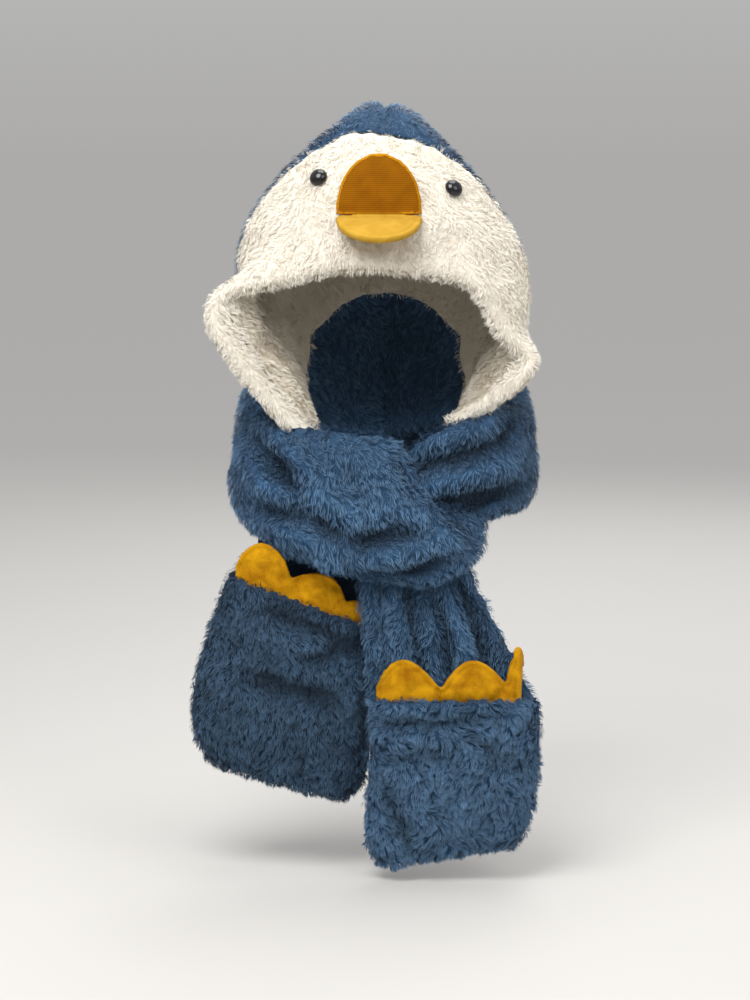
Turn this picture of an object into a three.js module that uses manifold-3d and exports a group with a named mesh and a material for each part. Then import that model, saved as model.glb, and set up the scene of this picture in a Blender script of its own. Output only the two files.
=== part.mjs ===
// Animal hood scarf: a plush penguin hood joined to a long scarf with a pocket at each end.
// It is shaped as worn: hood up, scarf crossed once round the neck, both ends hanging in front.
// Millimetres, +Z up. The face looks along -Y and +X is the viewer's right.
// The origin is the highest point inside the crown, where the hood sits on a head.

import * as THREE from 'three';
import { mergeVertices } from 'three/addons/utils/BufferGeometryUtils.js';
import Module from 'manifold-3d';

// Clearances between pieces
const touchGap = 0.8;
const hoodGap = 1.2;
const cutGap = 0.4;
const sewnGap = 0.7;

// Hood sizes
const hoodHalfWidth = 150;
const hoodDepth = 120;
const hoodDrop = 300;
const hoodLean = 0.07;
const shellWall = 8;
const liningWall = 4;
const rimRoll = 17;
const seamGroove = 3;

// Beak and eye sizes
const beakWidth = 79;
const beakUpperLength = 55;
const beakLowerLength = 50;
const beakWall = 8;
const beakUpperLean = 4;
const beakLowerDrop = 22;
const beakTaper = 2.2;
const beakTipShare = 0.985;
const beakTipThin = 0.55;
const eyeRadius = 9;
const eyeDome = 7;
const eyeRise = 1;

// Scarf sizes: the ring round the neck, which follows the hood's sizes, then the two hanging ends
const ringRadius = 0.8 * hoodHalfWidth;
const ringDrop = 1.1 * hoodDrop;
const bandHeight = 100;
const bandWall = 50;
const foldDepth = 9;
const endWidth = 160;
const endWall = 18;
const edgeShare = 0.25;
const pleatDepth = 5;
const rightEndBelow = 70;
const rightEndTop = -ringDrop - rightEndBelow;
const rightEndLength = 292;
const leftEndBelow = 55;
const leftEndTop = -ringDrop - leftEndBelow;
const leftEndLength = 245;
const rightEndFront = ringRadius - 2;
const leftEndBehind = 36;
const leftEndFront = rightEndFront - leftEndBehind;

// Pocket and toe sizes
const pocketWall = 8;
const pocketHollow = 20;
const pocketSag = 0.25;
const gapePower = 5;
const pocketEdge = 0.35;
const toeHeight = 36;
const toeWidth = 56;
const toeWall = 6;
const toeTuck = 12;
const toeTurnAngle = 78;

const crownWall = shellWall + touchGap + liningWall;

// Divisions of the surfaces
const hoodColumns = 28;
const panelBacks = 6;
const shellBacks = 9;
const bandRings = 20;
const bandAround = 26;
const endAcross = 14;
const endDown = 10;
const pocketDown = 9;
const lobeSteps = 9;
const beakSteps = 9;
const beakAround = 14;
const beadAround = 14;
const beadDown = 9;

// Roundness of sections, as powers of the circle's sine and cosine: 1 is an ellipse, less is squarer
const bandRound = 0.8;
const beakSideRound = 0.55;
const beakFaceRound = 0.9;

// A last row this near the bottom edge keeps it soft, and the slab's sides round off only near their edges
const hemRow = 0.965;
const edgePower = 6;
const pleatWaves = 3.5;

// Half arches of the hood's outer surface, from the rim round the face to the hem at the nape.
// A station is [x, y, z] in shares of hoodHalfWidth, hoodDepth and hoodDrop; top is [y, z].
// The rim's two sides differ: the left one flares out and the right one curls in at the cheek.
const RIM = { at: 'rim', top: [-1.07, -0.49], crest: [0.3, -1.05, -0.5], temple: [0.64, -0.967, -0.553],
  cheek: [1.02, -0.79, -0.6], jaw: [1.1, -0.783, -0.73], low: [0.87, -0.817, -0.905],
  hem: [0.473, -0.817, -1.09] };
const RIM_RIGHT = { ...RIM, temple: [0.6, -0.967, -0.53], cheek: [0.78, -0.9, -0.68],
  jaw: [0.955, -0.8, -0.745], low: [0.85, -0.817, -0.865], hem: [0.41, -0.817, -1.03] };
const HOOD_ARCHES = [
  RIM,
  { at: 'brow', top: [-0.883, -0.294], crest: [0.307, -0.858, -0.304], temple: [0.64, -0.717, -0.388],
    cheek: [0.893, -0.55, -0.56], jaw: [0.853, -0.55, -0.76], low: [0.68, -0.6, -0.9],
    hem: [0.487, -0.65, -1.047] },
  { at: 'seam', top: [-0.5, -0.098], crest: [0.267, -0.49, -0.111], temple: [0.62, -0.433, -0.235],
    cheek: [0.89, -0.317, -0.448], jaw: [0.87, -0.3, -0.69], low: [0.68, -0.35, -0.857],
    hem: [0.533, -0.433, -1.007] },
  { at: 'peak', top: [-0.125, 0], crest: [0.18, -0.125, -0.025], temple: [0.53, -0.1, -0.205],
    cheek: [0.84, -0.033, -0.455], jaw: [0.86, -0.033, -0.66], low: [0.667, -0.083, -0.86],
    hem: [0.573, -0.15, -0.985] },
  { at: 'crown', top: [0.375, -0.045], crest: [0.187, 0.367, -0.065], temple: [0.52, 0.317, -0.235],
    cheek: [0.76, 0.25, -0.46], jaw: [0.733, 0.217, -0.68], low: [0.653, 0.167, -0.82],
    hem: [0.587, 0.117, -0.93] },
  { at: 'back', top: [0.75, -0.205], crest: [0.18, 0.742, -0.225], temple: [0.453, 0.65, -0.35],
    cheek: [0.64, 0.517, -0.505], jaw: [0.66, 0.433, -0.66], low: [0.62, 0.375, -0.763],
    hem: [0.573, 0.317, -0.853] },
  { at: 'low back', top: [0.95, -0.407], crest: [0.167, 0.933, -0.417], temple: [0.373, 0.842, -0.48],
    cheek: [0.52, 0.708, -0.563], jaw: [0.56, 0.6, -0.663], low: [0.553, 0.533, -0.73],
    hem: [0.527, 0.483, -0.79] },
  { at: 'nape', top: [0.85, -0.61], crest: [0.12, 0.842, -0.613], temple: [0.233, 0.8, -0.627],
    cheek: [0.333, 0.742, -0.65], jaw: [0.4, 0.683, -0.677], low: [0.447, 0.617, -0.71],
    hem: [0.48, 0.55, -0.745] },
];
const STATIONS = ['crest', 'temple', 'cheek', 'jaw', 'low', 'hem'];

// Soft dents of the hood: place and reach across (-1 left hem to 1 right hem) and back (0 rim to 1 nape).
// depth is a share of rimRoll, and below zero it is a swelling.
const HOOD_DENTS = [
  { across: 0.1, back: 0.3, wide: 0.09, long: 0.05, depth: 0.25 },
  { across: 0.36, back: 0.1, wide: 0.1, long: 0.04, depth: 0.3 },
  { across: -0.4, back: 0.09, wide: 0.16, long: 0.03, depth: 0.25 },
  { across: -0.25, back: 0.62, wide: 0.1, long: 0.12, depth: 0.35 },
  { across: 0.3, back: 0.7, wide: 0.1, long: 0.1, depth: 0.35 },
  { across: 0, back: 0.9, wide: 0.12, long: 0.06, depth: 0.3 },
  { across: -0.6, back: 0.38, wide: 0.18, long: 0.12, depth: -0.6 },
];

// Places on the hood, in the same across and back shares, and the middle of the neck in shares of
// hoodDepth and hoodDrop
const seamBack = 2 / 7;
const seamWidth = 0.02;
const rollBack = 0.07;
const neckSpot = { y: -0.15, z: -0.75 };
const beakSpot = { across: -0.02, back: 0.1 };
const EYE_SPOTS = [
  { node: 'eye_left', across: -0.22, back: 0.19 },
  { node: 'eye_right', across: 0.226, back: 0.19 },
];

// Rows of the two scarf bands from the nape seam round to the front: the middle of the band in shares of
// ringRadius (x, y) and ringDrop (z), and the section's half height and half wall in shares of
// bandHeight and bandWall. tilt turns the section, in degrees, top outwards.
const OVER_ROWS = [
  { x: -0.003, y: 1, z: -0.745, tall: 0.94, thick: 0.32, tilt: 5 },
  { x: -0.5, y: 0.9, z: -0.785, tall: 0.84, thick: 0.36, tilt: 4 },
  { x: -0.9, y: 0.56, z: -0.87, tall: 0.66, thick: 0.46, tilt: 0 },
  { x: -1.02, y: 0.06, z: -0.985, tall: 0.56, thick: 0.56, tilt: -4 },
  { x: -0.95, y: -0.46, z: -1.03, tall: 0.56, thick: 0.56, tilt: -6 },
  { x: -0.64, y: -0.92, z: -1.06, tall: 0.63, thick: 0.52, tilt: -6 },
  { x: -0.2, y: -1.12, z: -1.09, tall: 0.69, thick: 0.48, tilt: -4 },
  { x: 0.12, y: -1.15, z: -1.11, tall: 0.67, thick: 0.46, tilt: -2 },
  { x: 0.32, y: -1.13, z: -1.195, tall: 0.4, thick: 0.46, tilt: 0 },
  { x: 0.54, y: -1, z: -1.19, tall: 0.31, thick: 0.44, tilt: 0 },
  { x: 0.68, y: -0.78, z: -1.17, tall: 0.25, thick: 0.4, tilt: 0 },
];
const UNDER_ROWS = [
  { x: 0.003, y: 1, z: -0.745, tall: 0.94, thick: 0.32, tilt: 5 },
  { x: 0.5, y: 0.9, z: -0.78, tall: 0.84, thick: 0.36, tilt: 4 },
  { x: 0.9, y: 0.56, z: -0.86, tall: 0.66, thick: 0.46, tilt: 0 },
  { x: 1, y: 0.06, z: -0.965, tall: 0.56, thick: 0.56, tilt: -4 },
  { x: 0.93, y: -0.44, z: -0.98, tall: 0.54, thick: 0.56, tilt: -6 },
  { x: 0.68, y: -0.86, z: -0.99, tall: 0.48, thick: 0.54, tilt: -6 },
  { x: 0.36, y: -1, z: -1.02, tall: 0.44, thick: 0.46, tilt: -2 },
  { x: 0, y: -0.86, z: -1.1, tall: 0.42, thick: 0.34, tilt: 0 },
  { x: -0.38, y: -0.72, z: -1.18, tall: 0.42, thick: 0.3, tilt: 0 },
];

// Folds pressed into the outer face of a band. from and to are heights across the band (-1 to 1) at the
// start and stop of the fold, which are shares of the band's length; depth is a share of foldDepth.
const OVER_FOLDS = [
  { start: 0.3, stop: 0.62, from: 0.45, to: 0.25, depth: 1 },
  { start: 0.42, stop: 0.8, from: -0.25, to: -0.05, depth: 1 },
  { start: 0.55, stop: 0.95, from: -0.72, to: -0.5, depth: 0.9 },
  { start: 0.05, stop: 0.4, from: -0.1, to: 0.1, depth: 0.7 },
];
const UNDER_FOLDS = [
  { start: 0.35, stop: 0.8, from: 0.25, to: -0.1, depth: 1.1 },
  { start: 0.45, stop: 0.85, from: -0.4, to: -0.7, depth: 0.9 },
  { start: 0.05, stop: 0.42, from: 0.1, to: -0.2, depth: 0.7 },
];
const foldSpread = 0.16;

// Rows of a hanging end from under the wrap to its bottom edge. down is a share of the end's length,
// middle and half are shares of endWidth, out is how far the slab swings forward in shares of endWall,
// slope is the rise of the row to the right, pleat is a share of pleatDepth.
const RIGHT_ROWS = [
  { down: 0, middle: 0.17, half: 0.3, out: -0.7, slope: 0, pleat: 0.4 },
  { down: 0.13, middle: 0.19, half: 0.37, out: 0.1, slope: 0, pleat: 1 },
  { down: 0.26, middle: 0.275, half: 0.41, out: 0.35, slope: 0, pleat: 1 },
  { down: 0.38, middle: 0.33, half: 0.46, out: 0.4, slope: 0, pleat: 0.8 },
  { down: 0.5, middle: 0.4, half: 0.505, out: 0.4, slope: 0, pleat: 0.2 },
  { down: 0.66, middle: 0.403, half: 0.505, out: 0.4, slope: 0.03, pleat: 0 },
  { down: 0.83, middle: 0.385, half: 0.5, out: 0.35, slope: 0.09, pleat: 0 },
  { down: 0.95, middle: 0.37, half: 0.475, out: 0.3, slope: 0.14, pleat: 0 },
  { down: 1, middle: 0.37, half: 0.4, out: 0.3, slope: 0.16, pleat: 0 },
];
const LEFT_ROWS = [
  { down: 0, middle: -0.4, half: 0.25, out: 0, slope: -0.1, pleat: 0.5 },
  { down: 0.14, middle: -0.46, half: 0.34, out: 0.2, slope: -0.25, pleat: 0.8 },
  { down: 0.28, middle: -0.51, half: 0.42, out: 0.4, slope: -0.36, pleat: 0.4 },
  { down: 0.45, middle: -0.545, half: 0.47, out: 0.5, slope: -0.36, pleat: 0 },
  { down: 0.66, middle: -0.6, half: 0.52, out: 0.5, slope: -0.33, pleat: 0 },
  { down: 0.83, middle: -0.622, half: 0.535, out: 0.4, slope: -0.29, pleat: 0 },
  { down: 0.94, middle: -0.625, half: 0.49, out: 0.4, slope: -0.27, pleat: 0 },
  { down: 1, middle: -0.635, half: 0.4, out: 0.4, slope: -0.28, pleat: 0 },
];

// Toes of each trim from left to right, in shares of toeWidth and toeHeight: the lobe's width, the trim's
// height where the lobe starts, at its tip and where it stops, how far the tip leans to the right (1 is none)
// and the lobe's roundness as a power (less is fuller)
const RIGHT_TOES = [
  { wide: 1.07, from: 0.3, tall: 1.05, to: 0.28, lean: 0.8, round: 0.95 },
  { wide: 1.07, from: 0.28, tall: 1.05, to: 0.42, lean: 1, round: 0.95 },
  { wide: 0.7, from: 0.42, tall: 1.35, to: 0.9, lean: 1, round: 0.55 },
];
const LEFT_TOES = [
  { wide: 1.12, from: 0.3, tall: 1.2, to: 0.5, lean: 1.35, round: 0.5 },
  { wide: 1.1, from: 0.5, tall: 0.95, to: 0.36, lean: 1.45, round: 0.6 },
  { wide: 0.5, from: 0.36, tall: 0.5, to: 0.4, lean: 1, round: 0.6 },
];

// Creases in the pocket fronts: place and reach across (-1 to 1) and down (0 mouth to 1 foot), slant of the
// crease, and depth in shares of pocketHollow
const RIGHT_DENTS = [
  { across: -0.35, down: 0.18, wide: 0.5, long: 0.07, slant: 0.06, depth: 0.2 },
  { across: 0.2, down: 0.45, wide: 0.45, long: 0.08, slant: 0.16, depth: 0.2 },
  { across: -0.65, down: 0.75, wide: 0.16, long: 0.25, slant: 0.4, depth: 0.25 },
];
const LEFT_DENTS = [
  { across: 0.62, down: 0.2, wide: 0.35, long: 0.08, slant: 0.08, depth: 0.3 },
  { across: 0.1, down: 0.45, wide: 0.4, long: 0.09, slant: -0.05, depth: 0.22 },
  { across: -0.2, down: 0.62, wide: 0.35, long: 0.07, slant: 0.05, depth: 0.18 },
];

// The two ends. mouth is the share of the end's length where the pocket opens, toeStart and toeTurn the
// places across it (-1 to 1) where the trim begins and where it turns back along the pocket's side.
const ENDS = {
  right: { rows: RIGHT_ROWS, toes: RIGHT_TOES, dents: RIGHT_DENTS, top: rightEndTop, length: rightEndLength,
    front: rightEndFront, mouth: 0.475, toeStart: -0.88, toeTurn: 0.78 },
  left: { rows: LEFT_ROWS, toes: LEFT_TOES, dents: LEFT_DENTS, top: leftEndTop, length: leftEndLength,
    front: leftEndFront, mouth: 0.27, toeStart: -0.88, toeTurn: 1 },
};

// Colours
const COLORS = {
  blue: 0x3e5c7a,
  navy: 0x2f4a66,
  white: 0xf0e8dc,
  cream: 0xd8cdb8,
  yellow: 0xeaa628,
  black: 0x0b0b0e,
};

const wasm = await Module();
wasm.setup();

const group = new THREE.Group();

// Meshes

function addPiece(name, geometry, color, roughness) {
  const material = new THREE.MeshStandardMaterial({ color, roughness, metalness: 0 });
  const mesh = new THREE.Mesh(geometry, material);
  mesh.name = name;
  group.add(mesh);
  return mesh;
}

function signedVolume(positions, indices) {
  const corner = (index) => new THREE.Vector3().fromArray(positions, index * 3);
  let volume = 0;
  for (let index = 0; index < indices.length; index += 3) {
    const cross = corner(indices[index + 1]).cross(corner(indices[index + 2]));
    volume += corner(indices[index]).dot(cross) / 6;
  }
  return volume;
}

// Closes a ring with a strip that joins its first point to its last, its second to its last but one, and on
function capTriangles(around) {
  const triangles = [];
  for (let low = 0; low < around / 2 - 1; low += 1) {
    const high = around - 1 - low;
    if (low + 1 < high - 1) triangles.push([low, low + 1, high - 1]);
    triangles.push([low, high - 1, high]);
  }
  return triangles;
}

function closedGeometry(positions, indices) {
  if (signedVolume(positions, indices) < 0) indices.reverse();
  const geometry = new THREE.BufferGeometry();
  geometry.setAttribute('position', new THREE.Float32BufferAttribute(positions, 3));
  geometry.setIndex(indices);
  return geometry;
}

// Joins closed rings of points into one closed body
function loft(rings) {
  const around = rings[0].length;
  const points = rings.flat();
  const positions = points.flatMap((point) => [point.x, point.y, point.z]);
  const indices = [];
  for (let ring = 0; ring < rings.length - 1; ring += 1) {
    for (let step = 0; step < around; step += 1) {
      const a = ring * around + step;
      const b = ring * around + ((step + 1) % around);
      const straight = points[a].distanceTo(points[b + around]);
      const crossed = points[b].distanceTo(points[a + around]);
      if (straight <= crossed) indices.push(a, b, b + around, a, b + around, a + around);
      else indices.push(a, b, a + around, b, b + around, a + around);
    }
  }
  const last = (rings.length - 1) * around;
  for (const [a, b, c] of capTriangles(around)) indices.push(a, c, b, last + a, last + b, last + c);
  return closedGeometry(positions, indices);
}

function toSolid(geometry) {
  const plain = geometry.clone();
  plain.deleteAttribute('normal');
  plain.deleteAttribute('uv');
  const merged = mergeVertices(plain, 1e-4);
  return new wasm.Manifold(new wasm.Mesh({
    numProp: 3,
    vertProperties: new Float32Array(merged.attributes.position.array),
    triVerts: new Uint32Array(merged.index.array),
  }));
}

function toGeometry(solid) {
  const mesh = solid.getMesh();
  const geometry = new THREE.BufferGeometry();
  geometry.setAttribute('position', new THREE.BufferAttribute(mesh.vertProperties, 3));
  geometry.setIndex(new THREE.BufferAttribute(mesh.triVerts, 1));
  return geometry;
}

function cutBy(geometry, cutters) {
  let solid = toSolid(geometry);
  for (const cutter of cutters) solid = solid.subtract(cutter);
  // A cut along a folded face can leave crumbs, and the piece is the largest body
  const bodies = solid.decompose().sort((a, b) => b.volume() - a.volume());
  return toGeometry(bodies[0]);
}

// Curves

function catmull(values, place) {
  const last = values.length - 1;
  const at = THREE.MathUtils.clamp(place, 0, 1) * last;
  const index = Math.min(Math.floor(at), last - 1);
  const t = at - index;
  const p1 = values[index];
  const p2 = values[index + 1];
  const p0 = index > 0 ? values[index - 1] : 2 * p1 - p2;
  const p3 = index + 2 <= last ? values[index + 2] : 2 * p2 - p1;
  const bend = 2 * p0 - 5 * p1 + 4 * p2 - p3;
  return p1 + 0.5 * t * (p2 - p0 + t * (bend + t * (3 * (p1 - p2) + p3 - p0)));
}

function rowAt(rows, place) {
  const row = {};
  for (const column of Object.keys(rows[0])) {
    row[column] = catmull(rows.map((each) => each[column]), place);
  }
  return row;
}

function bump(distance, reach) {
  return Math.exp(-((distance / reach) ** 2));
}

function rounded(value, power) {
  return Math.sign(value) * Math.abs(value) ** power;
}

function shares(count, from = 0, to = 1) {
  return Array.from({ length: count + 1 }, (unused, index) => from + ((to - from) * index) / count);
}

// Hood surface

function stationPoint(arch, side, station) {
  const sign = side === 'left' ? -1 : 1;
  const row = arch === 0 && side === 'right' ? RIM_RIGHT : HOOD_ARCHES[arch];
  const [x, y, z] = row[station];
  const outX = sign * x * hoodHalfWidth;
  const lean = station === 'hem' || arch > 4 ? 0 : hoodLean * outX;
  return [outX, y * hoodDepth, crownWall + z * hoodDrop - lean];
}

const archPoints = HOOD_ARCHES.map((arch, index) => {
  const left = STATIONS.map((station) => stationPoint(index, 'left', station)).reverse();
  const right = STATIONS.map((station) => stationPoint(index, 'right', station));
  const top = [0, arch.top[0] * hoodDepth, crownWall + arch.top[1] * hoodDrop];
  return [...left, top, ...right];
});

function hoodBase(across, back) {
  const coordinate = (axis) => {
    const perArch = archPoints.map((points) => catmull(points.map((point) => point[axis]), (across + 1) / 2));
    return catmull(perArch, back);
  };
  return new THREE.Vector3(coordinate(0), coordinate(1), coordinate(2));
}

// The outer surface with its outward normal and its direction towards the face
function hoodFrame(across, back) {
  const step = 0.004;
  const point = hoodBase(across, back);
  const acrossLow = hoodBase(Math.max(across - step, -1), back);
  const acrossHigh = hoodBase(Math.min(across + step, 1), back);
  const backLow = hoodBase(across, Math.max(back - step, 0));
  const backHigh = hoodBase(across, Math.min(back + step, 1));
  const along = acrossHigh.sub(acrossLow).normalize();
  const ahead = backLow.sub(backHigh).normalize();
  const normal = new THREE.Vector3().crossVectors(along, ahead).negate().normalize();
  const forward = new THREE.Vector3().crossVectors(along, normal).normalize();
  if (forward.dot(ahead) < 0) forward.negate();
  return { point, normal, forward, along };
}

function hoodDent(across, back) {
  let depth = 0;
  for (const dent of HOOD_DENTS) {
    depth += dent.depth * rimRoll * bump(across - dent.across, dent.wide) * bump(back - dent.back, dent.long);
  }
  if (back > seamBack) depth += seamGroove * bump(across, seamWidth);
  return depth;
}

// A layer of the hood: a closed profile of { back, depth, ahead } swept from one hem to the other
function hoodLayer(profile, grow = 0) {
  const rings = shares(hoodColumns, -1, 1).map((across) => profile.map((spot) => {
    const { point, normal, forward, along } = hoodFrame(across, spot.back);
    const depth = spot.depth + hoodDent(across, spot.back);
    point.addScaledVector(normal, -depth).addScaledVector(forward, spot.ahead ?? 0);
    if (Math.abs(across) === 1) point.addScaledVector(along, across * grow);
    return point;
  }));
  return loft(rings);
}

const panelRows = shares(panelBacks, 0, seamBack);
const shellRows = shares(shellBacks, seamBack, 1);
const innerPanelRows = [rollBack, ...panelRows.filter((back) => back > rollBack)];

// The round front edge between two depths, from the outer face to the inner one
function noseProfile(near, far) {
  const middle = (near + far) / 2;
  const radius = (far - near) / 2;
  return shares(4).slice(1, -1).map((share) => ({
    back: 0,
    depth: middle - radius * Math.cos(Math.PI * share),
    ahead: radius * Math.sin(Math.PI * share),
  }));
}

function rowProfile(rows, depth) {
  return rows.map((back) => ({ back, depth }));
}

// The front band: outer face, round rolled rim, and an inner face that steps up to the thinner wall
const panelProfile = [
  ...rowProfile([...panelRows].reverse(), 0),
  ...noseProfile(0, rimRoll),
  ...rowProfile([0, rollBack], rimRoll),
  ...rowProfile(innerPanelRows, shellWall),
];

// A plain layer between two depths, whose front edge stays back from the piece before it
function layerProfile(rows, near, wall, frontGap) {
  const ahead = (back) => (back === rows[0] ? -frontGap : 0);
  const outer = [...rows].reverse().map((back) => ({ back, depth: near, ahead: ahead(back) }));
  const inner = rows.map((back) => ({ back, depth: near + wall, ahead: ahead(back) }));
  return [...outer, ...inner];
}

const liningRows = [...innerPanelRows, ...shellRows.slice(1)];
const shellProfile = layerProfile(shellRows, 0, shellWall, touchGap);
const liningProfile = layerProfile(liningRows, shellWall + touchGap, liningWall, 2 * touchGap);

// All the hood's layers together, with a margin round them
function wallProfile(margin) {
  const rows = [...panelRows, ...shellRows.slice(1)];
  const near = -margin;
  const far = rimRoll + margin;
  return [
    ...rowProfile([...rows].reverse(), near),
    ...noseProfile(near, far),
    ...rowProfile(rows, far),
  ];
}

// The whole space inside the hood's outer surface, which the scarf keeps clear of
function hoodPlug() {
  const across = shares(hoodColumns, -1, 1);
  const back = [...panelRows, ...shellRows.slice(1)];
  const wide = across.length;
  const points = back.flatMap((row) => across.map((column) => {
    const { point, normal, forward } = hoodFrame(column, row);
    const ahead = row === 0 ? rimRoll / 2 + hoodGap : 0;
    return point.addScaledVector(normal, hoodGap - hoodDent(column, row)).addScaledVector(forward, ahead);
  }));
  const indices = [];
  for (let row = 0; row < back.length - 1; row += 1) {
    for (let column = 0; column < wide - 1; column += 1) {
      const a = row * wide + column;
      indices.push(a, a + wide, a + wide + 1, a, a + wide + 1, a + 1);
    }
  }
  const lastRow = (back.length - 1) * wide;
  const edge = [
    ...across.map((unused, column) => column),
    ...back.slice(1).map((unused, row) => (row + 1) * wide + wide - 1),
    ...across.slice(1).map((unused, column) => lastRow + wide - 2 - column),
    ...back.slice(1, -1).map((unused, row) => (back.length - 2 - row) * wide),
  ];
  const centre = points.length;
  points.push(new THREE.Vector3(0, neckSpot.y * hoodDepth, neckSpot.z * hoodDrop));
  edge.forEach((from, index) => indices.push(from, edge[(index + 1) % edge.length], centre));
  return closedGeometry(points.flatMap((point) => [point.x, point.y, point.z]), indices);
}

// Scarf bands

function bandPoint(rows, place) {
  const row = rowAt(rows, place);
  return new THREE.Vector3(row.x * ringRadius, row.y * ringRadius, row.z * ringDrop);
}

function bandFold(folds, place, height) {
  let depth = 0;
  for (const fold of folds) {
    const share = (place - fold.start) / (fold.stop - fold.start);
    if (share <= 0 || share >= 1) continue;
    const line = THREE.MathUtils.lerp(fold.from, fold.to, share);
    depth += fold.depth * foldDepth * Math.sin(Math.PI * share) ** 0.6 * bump(height - line, foldSpread);
  }
  return depth;
}

function band(rows, folds, side, grow = 0) {
  const rings = shares(bandRings).map((place) => {
    const row = rowAt(rows, place);
    const centre = bandPoint(rows, place);
    const ahead = bandPoint(rows, Math.min(place + 0.01, 1)).sub(bandPoint(rows, Math.max(place - 0.01, 0)));
    ahead.z = 0;
    // The two bands meet in a flat seam at the nape
    if (place === 0) ahead.set(side, 0, 0);
    ahead.normalize();
    const out = new THREE.Vector3().crossVectors(ahead, new THREE.Vector3(0, 0, -side)).normalize();
    const up = new THREE.Vector3(0, 0, 1);
    const tilt = THREE.MathUtils.degToRad(row.tilt);
    const outward = out.clone().multiplyScalar(Math.cos(tilt)).addScaledVector(up, -Math.sin(tilt));
    const upward = up.clone().multiplyScalar(Math.cos(tilt)).addScaledVector(out, Math.sin(tilt));
    return shares(bandAround).slice(1).map((part) => {
      const angle = 2 * Math.PI * part;
      const cos = rounded(Math.cos(angle), bandRound);
      const sin = rounded(Math.sin(angle), bandRound);
      const fold = cos > 0 ? bandFold(folds, place, sin) * Math.min(1, cos * 2) : 0;
      const wide = cos * (row.thick * bandWall + grow) - fold;
      const tall = sin * (row.tall * bandHeight + grow);
      return centre.clone().addScaledVector(outward, wide).addScaledVector(upward, tall);
    });
  });
  return loft(rings);
}

// Hanging ends

function endSurface(end, down, across) {
  const row = rowAt(end.rows, placeOf(end.rows, down));
  const x = (row.middle + across * row.half) * endWidth;
  const z = end.top - down * end.length + row.slope * across * row.half * endWidth;
  const y = -end.front - row.out * endWall;
  const round = edgeShare + (1 - edgeShare) * Math.sqrt(1 - Math.abs(across) ** edgePower);
  const pleat = row.pleat * pleatDepth * Math.sin(pleatWaves * Math.PI * (across + 1));
  return { x, y, z, round, pleat };
}

// Turns a share of an end's length into a place in its table, where rows are unevenly spaced
function placeOf(rows, down) {
  let index = rows.findIndex((row) => row.down > down) - 1;
  if (index < 0) index = down < rows[0].down ? 0 : rows.length - 2;
  const gap = rows[index + 1].down - rows[index].down;
  return (index + (down - rows[index].down) / gap) / (rows.length - 1);
}

function withHemRow(rows) {
  return [...rows, hemRow].sort((a, b) => a - b);
}

function endSlab(end, grow = 0) {
  const edges = shares(endAcross, -1, 1);
  const rings = withHemRow(shares(endDown)).map((down) => {
    const front = edges.map((across) => {
      const { x, y, z, round, pleat } = endSurface(end, down, across);
      const side = Math.sign(across) * (Math.abs(across) === 1 ? grow : 0);
      return new THREE.Vector3(x + side, y - round * (endWall / 2 + pleat) - grow, z);
    });
    const rear = [...edges].reverse().map((across) => {
      const { x, y, z, round, pleat } = endSurface(end, down, across);
      const side = Math.sign(across) * (Math.abs(across) === 1 ? grow : 0);
      return new THREE.Vector3(x + side, y + round * (endWall / 2 - pleat) + grow, z);
    });
    return [...front, ...rear];
  });
  return loft(rings);
}

// How far the pocket's inner face stands off the slab
function pocketGape(across, share) {
  const sides = 1 - Math.abs(across) ** gapePower;
  const foot = 1 - share ** gapePower;
  return pocketHollow * sides * foot * (1 - pocketSag * Math.sin(Math.PI * share));
}

function pocketDent(end, across, share) {
  let depth = 0;
  for (const dent of end.dents) {
    const line = dent.down + dent.slant * (across - dent.across);
    depth += dent.depth * pocketHollow * bump(across - dent.across, dent.wide) * bump(share - line, dent.long);
  }
  return depth;
}

function pocketSpot(end, across, share, wall) {
  const down = THREE.MathUtils.lerp(end.mouth, 1, share);
  const { x, y, z, round, pleat } = endSurface(end, down, across);
  const front = y - round * (endWall / 2 + pleat) - sewnGap;
  const inner = front - Math.max(0, pocketGape(across, share) - pocketDent(end, across, share));
  return new THREE.Vector3(x, inner - wall * (pocketEdge + (1 - pocketEdge) * round), z);
}

function pocketPanel(end, grow = 0) {
  const edges = shares(endAcross, -1, 1);
  const rings = withHemRow(shares(pocketDown)).map((share) => {
    const outer = edges.map((across) => pocketSpot(end, across, share, pocketWall + grow));
    const inner = edges.map((across) => pocketSpot(end, across, share, -grow)).reverse();
    return [...outer, ...inner];
  });
  return loft(rings);
}

// Outline of the trim above the mouth: how far along it each point is, and how high, with one in each valley
function toeLine(toes) {
  const points = [{ along: 0, high: toeHeight * toes[0].from }];
  let start = 0;
  for (const toe of toes) {
    for (const t of shares(lobeSteps).slice(1)) {
      const valley = THREE.MathUtils.lerp(toe.from, toe.to, t);
      const lobe = Math.max(0, Math.sin(Math.PI * t ** toe.lean)) ** toe.round;
      const high = toeHeight * (valley + (toe.tall - valley) * lobe);
      points.push({ along: toeWidth * (start + t * toe.wide), high });
    }
    start += toe.wide;
  }
  return points;
}

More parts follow.
